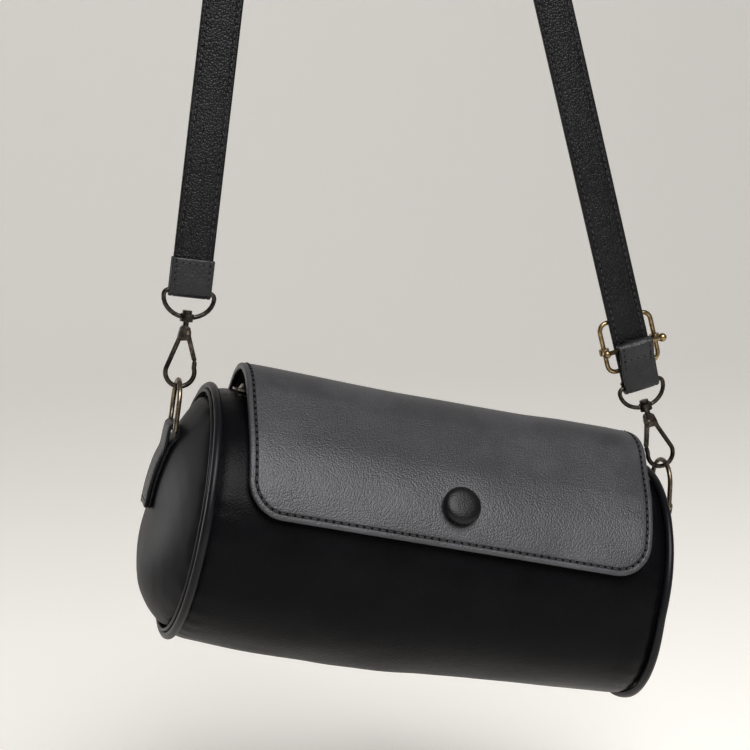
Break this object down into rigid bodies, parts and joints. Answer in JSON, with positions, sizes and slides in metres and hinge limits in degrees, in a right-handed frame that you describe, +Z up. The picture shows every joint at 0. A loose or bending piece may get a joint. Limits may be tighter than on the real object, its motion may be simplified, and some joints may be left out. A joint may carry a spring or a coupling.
{
  "type": "barrel bag",
  "caption": "Barrel-shaped leather bag with padded round ends, a zipped mouth under a magnet flap, and a long strap clipped to rings by swivel snap hooks.",
  "frame": {"origin": "underside of the strap at the top of its bend, where it hangs", "axes": "+Z up along the hanging strap, +X towards the end with the slide, -Y towards the front of the flap"},
  "size_m": [0.2343, 0.1106, 0.6151],
  "materials": {
    "outer_leather": "fine pebble grain, satin",
    "trim_leather": "smooth, satin",
    "lining_cloth": "plain weave",
    "stiff_board": "pressed fibre board",
    "soft_padding": "soft foam",
    "magnet_metal": "plated",
    "zip_tape": "woven tape",
    "zip_metal": "antique, worn",
    "hook_metal": "dark antique plating",
    "ring_metal": "antique plating",
    "slide_metal": "antique plating with bright edges",
    "spring_steel": "plain"
  },
  "bodies": {
    "strap": {"strap": "trim_leather", "strap_end_tab": "trim_leather", "strap_return": "trim_leather", "left_strap_eye": "hook_metal", "right_strap_eye": "hook_metal"},
    "bag": {"barrel_skin": "outer_leather", "barrel_board": "stiff_board", "barrel_lining": "lining_cloth", "body_magnet": "magnet_metal", "flap_seam_strip": "trim_leather", "left_end_panel": "outer_leather", "left_end_padding": "soft_padding", "left_end_board": "stiff_board", "left_end_lining": "lining_cloth", "left_piping": "trim_leather", "right_end_panel": "outer_leather", "right_end_padding": "soft_padding", "right_end_board": "stiff_board", "right_end_lining": "lining_cloth", "right_piping": "trim_leather", "zip_tape_front": "zip_tape", "zip_tape_back": "zip_tape", "zip_teeth_front": "zip_metal", "zip_teeth_back": "zip_metal", "zip_stops": "zip_metal", "left_ring_tab": "trim_leather", "right_ring_tab": "trim_leather"},
    "flap": {"flap_skin": "outer_leather", "flap_board": "stiff_board", "flap_lining": "lining_cloth", "flap_button": "trim_leather", "flap_magnet": "magnet_metal"},
    "zip_slider": {"zip_slider": "zip_metal"},
    "zip_pull": {"zip_pull": "zip_metal"},
    "left_ring": {"left_ring": "ring_metal"},
    "right_ring": {"right_ring": "ring_metal"},
    "left_hook": {"left_hook_body": "hook_metal", "left_gate_pin": "hook_metal", "left_gate_spring": "spring_steel"},
    "right_hook": {"right_hook_body": "hook_metal", "right_gate_pin": "hook_metal", "right_gate_spring": "spring_steel"},
    "left_gate": {"left_hook_gate": "hook_metal"},
    "right_gate": {"right_hook_gate": "hook_metal"},
    "slide_bar": {"slide_bar": "slide_metal"},
    "slide_frame": {"slide_frame": "slide_metal"}
  },
  "joints": [
    {"name": "bag_swing", "type": "hinge", "parent": "strap", "child": "bag", "pos_m": [-0.06959, 0, -0.46562], "axis": [0.9806, 0, -0.1959], "range_deg": [-30, 30]},
    {"name": "flap_lift", "type": "hinge", "parent": "bag", "child": "flap", "pos_m": [0.03566, 0.04189, -0.50226], "axis": [-0.9763, 0, 0.2164], "range_deg": [0, 120], "deforming": ["flap_skin", "flap_board", "flap_lining"]},
    {"name": "zip_slide", "type": "slide", "parent": "bag", "child": "zip_slider", "axis": [0.9763, 0, -0.2164], "range_m": [0, 0.156], "deforming": ["zip_tape_front", "zip_tape_back", "zip_teeth_front", "zip_teeth_back"]},
    {"name": "zip_pull_tilt", "type": "hinge", "parent": "zip_slider", "child": "zip_pull", "pos_m": [-0.04141, 0, -0.46712], "axis": [0, -1, 0], "range_deg": [0, 20]},
    {"name": "left_ring_turn", "type": "hinge", "parent": "bag", "child": "left_ring", "pos_m": [-0.0721, 0, -0.48228], "axis": [0, 1, 0], "range_deg": [-1.5, 1.5]},
    {"name": "right_ring_turn", "type": "hinge", "parent": "bag", "child": "right_ring", "pos_m": [0.14303, 0, -0.52537], "axis": [0, 1, 0], "range_deg": [-1.5, 1.5]},
    {"name": "left_hook_swivel", "type": "hinge", "parent": "strap", "child": "left_hook", "pos_m": [-0.06565, 0, -0.4376], "axis": [0.1392, 0, 0.9903], "range_deg": [-25, 25]},
    {"name": "left_gate_press", "type": "hinge", "parent": "left_hook", "child": "left_gate", "pos_m": [-0.06539, 0, -0.44369], "axis": [0, 1, 0], "range_deg": [0, 20], "stiffness_Nm_per_rad": 0.02, "springref_deg": -11.46},
    {"name": "right_hook_swivel", "type": "hinge", "parent": "strap", "child": "right_hook", "pos_m": [0.13494, 0, -0.48171], "axis": [-0.3355, 0, 0.9421], "range_deg": [-25, 25]},
    {"name": "right_gate_press", "type": "hinge", "parent": "right_hook", "child": "right_gate", "pos_m": [0.13592, 0, -0.48773], "axis": [0, -1, 0], "range_deg": [0, 20], "stiffness_Nm_per_rad": 0.02, "springref_deg": -11.46},
    {"name": "buckle_slide", "type": "slide", "parent": "strap", "child": "slide_bar", "axis": [-0.2563, 0, 0.9666], "range_m": [0, 0.2], "deforming": ["strap_return"]},
    {"name": "slide_frame_shift", "type": "slide", "parent": "slide_bar", "child": "slide_frame", "axis": [-0.2563, 0, 0.9666], "range_m": [-0.003, 0.003]}
  ]
}
